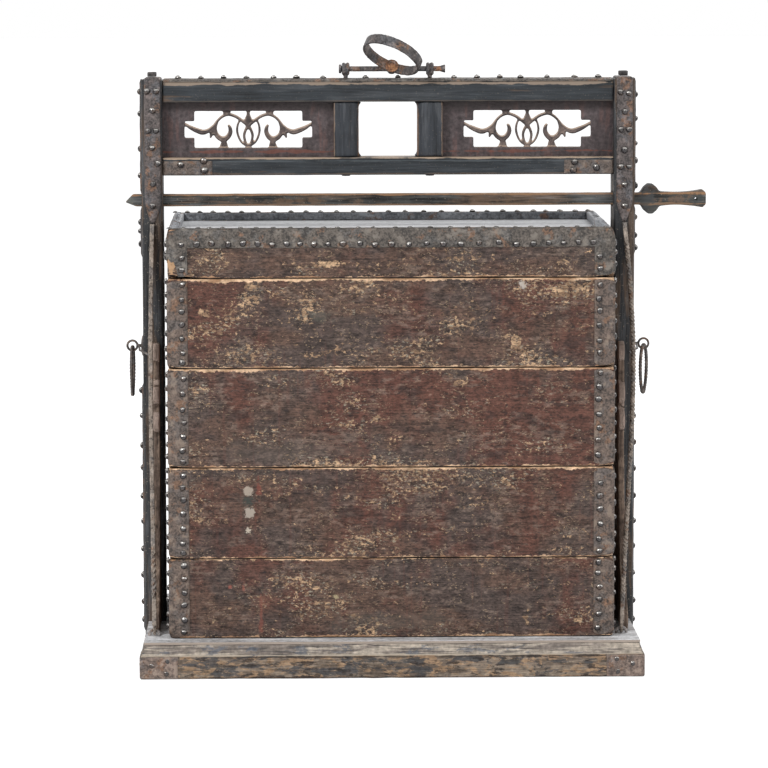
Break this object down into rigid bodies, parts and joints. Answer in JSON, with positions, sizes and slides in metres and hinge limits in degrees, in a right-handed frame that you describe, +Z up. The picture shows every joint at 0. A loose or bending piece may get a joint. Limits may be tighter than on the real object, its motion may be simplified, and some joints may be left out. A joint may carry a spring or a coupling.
{
  "type": "tiered carrying chest",
  "caption": "Old iron-bound wooden chest of stacked trays with a lid, held in an arched carrying stand by a sliding lock bar, with a swivelling ring on top and ring pulls on its sides.",
  "frame": {"origin": "on the floor under the middle of the stand, midway between the posts and between the front and back base rails", "axes": "+Z up, +X to the right when seen from the front, towards the lock bar's handle, -Y towards the front"},
  "size_m": [1.0392, 0.504, 1.1162],
  "materials": {
    "base_paint": "worn dark paint on old wood",
    "deck_wood": "bare, dusty grey wood",
    "post_lacquer": "worn black lacquer",
    "rail_lacquer": "worn blue-black lacquer",
    "carved_wood": "dark red-brown lacquer",
    "bracket_wood": "worn wood with lacquer remains",
    "bar_lacquer": "dark lacquer, worn to the wood on its edges",
    "tray_lacquer": "chipped dark red-brown lacquer",
    "inner_wood": "plain wood",
    "lid_lacquer": "chipped dark red-brown lacquer",
    "lid_top_wood": "dusty grey wood",
    "strap_iron": "old wrought iron",
    "sheet_iron": "rusted sheet iron",
    "lid_iron": "rusted sheet iron",
    "stay_iron": "forged iron, worn bright on its edges",
    "ring_iron": "forged iron",
    "hanger_iron": "forged iron",
    "pin_iron": "orange rust"
  },
  "bodies": {
    "stand": {"base_rail_front": "base_paint", "base_rail_back": "base_paint", "base_rail_left": "base_paint", "base_rail_right": "base_paint", "base_bearer": "deck_wood", "deck_boards": "deck_wood", "base_corner_plates": "sheet_iron", "post_left": "post_lacquer", "post_right": "post_lacquer", "top_rail": "rail_lacquer", "lower_rail": "rail_lacquer", "window_stiles": "rail_lacquer", "panel_left": "carved_wood", "panel_right": "carved_wood", "rail_strip": "strap_iron", "rail_irons": "sheet_iron", "bracket_front_left": "bracket_wood", "bracket_front_right": "bracket_wood", "bracket_back_left": "bracket_wood", "bracket_back_right": "bracket_wood", "post_strap_left": "strap_iron", "post_strap_right": "strap_iron", "side_straps": "strap_iron", "foot_straps": "strap_iron", "post_pins": "strap_iron", "stay_front_left": "stay_iron", "stay_front_right": "stay_iron", "stay_back_left": "stay_iron", "stay_back_right": "stay_iron", "deck_staples": "stay_iron", "ring_domes": "ring_iron", "ring_eye_left": "ring_iron", "ring_eye_right": "ring_iron", "eye_bolts": "hanger_iron"},
    "hanger": {"hanger_rod": "hanger_iron", "swivel_pin": "pin_iron"},
    "ring": {"carrying_ring": "hanger_iron"},
    "drop_ring_left": {"drop_ring_left": "ring_iron"},
    "drop_ring_right": {"drop_ring_right": "ring_iron"},
    "lock_bar": {"lock_bar": "bar_lacquer"},
    "tray_1": {"tray_1_long_boards": "tray_lacquer", "tray_1_end_boards": "tray_lacquer", "tray_1_bottom": "inner_wood", "tray_1_corner_irons": "sheet_iron"},
    "tray_2": {"tray_2_long_boards": "tray_lacquer", "tray_2_end_boards": "tray_lacquer", "tray_2_bottom": "inner_wood", "tray_2_corner_irons": "sheet_iron"},
    "tray_3": {"tray_3_long_boards": "tray_lacquer", "tray_3_end_boards": "tray_lacquer", "tray_3_bottom": "inner_wood", "tray_3_corner_irons": "sheet_iron"},
    "tray_4": {"tray_4_long_boards": "tray_lacquer", "tray_4_end_boards": "tray_lacquer", "tray_4_bottom": "inner_wood", "tray_4_corner_irons": "sheet_iron"},
    "lid": {"lid_long_boards": "lid_lacquer", "lid_end_boards": "lid_lacquer", "lid_top_board": "lid_top_wood", "lid_irons": "lid_iron"}
  },
  "joints": [
    {"name": "rod_turn", "type": "hinge", "parent": "stand", "child": "hanger", "pos_m": [0.007, 0, 1.052], "axis": [1, 0, 0], "range_deg": [-128, 0]},
    {"name": "ring_swivel", "type": "hinge", "parent": "hanger", "child": "ring", "pos_m": [0.007, 0, 1.052], "axis": [0, -0.8988, 0.4384], "range_deg": [0, 46]},
    {"name": "left_ring_swing", "type": "hinge", "parent": "stand", "child": "drop_ring_left", "pos_m": [-0.459, 0, 0.555], "axis": [0, 1, 0], "range_deg": [-5, 110]},
    {"name": "right_ring_swing", "type": "hinge", "parent": "stand", "child": "drop_ring_right", "pos_m": [0.459, 0, 0.555], "axis": [-0.225, -0.9744, 0], "range_deg": [-5, 110]},
    {"name": "lock_bar_draw", "type": "slide", "parent": "stand", "child": "lock_bar", "axis": [1, 0, 0], "range_m": [0, 0.93]},
    {"name": "tray_1_draw", "type": "slide", "parent": "stand", "child": "tray_1", "axis": [0, -1, 0], "range_m": [0, 0.5]},
    {"name": "tray_2_draw", "type": "slide", "parent": "tray_1", "child": "tray_2", "axis": [0, -1, 0], "range_m": [0, 0.5]},
    {"name": "tray_3_draw", "type": "slide", "parent": "tray_2", "child": "tray_3", "axis": [0, -1, 0], "range_m": [0, 0.5]},
    {"name": "tray_4_draw", "type": "slide", "parent": "tray_3", "child": "tray_4", "axis": [0, -1, 0], "range_m": [0, 0.5]},
    {"name": "lid_draw", "type": "slide", "parent": "tray_4", "child": "lid", "axis": [0, -1, 0], "range_m": [0, 0.5]}
  ]
}
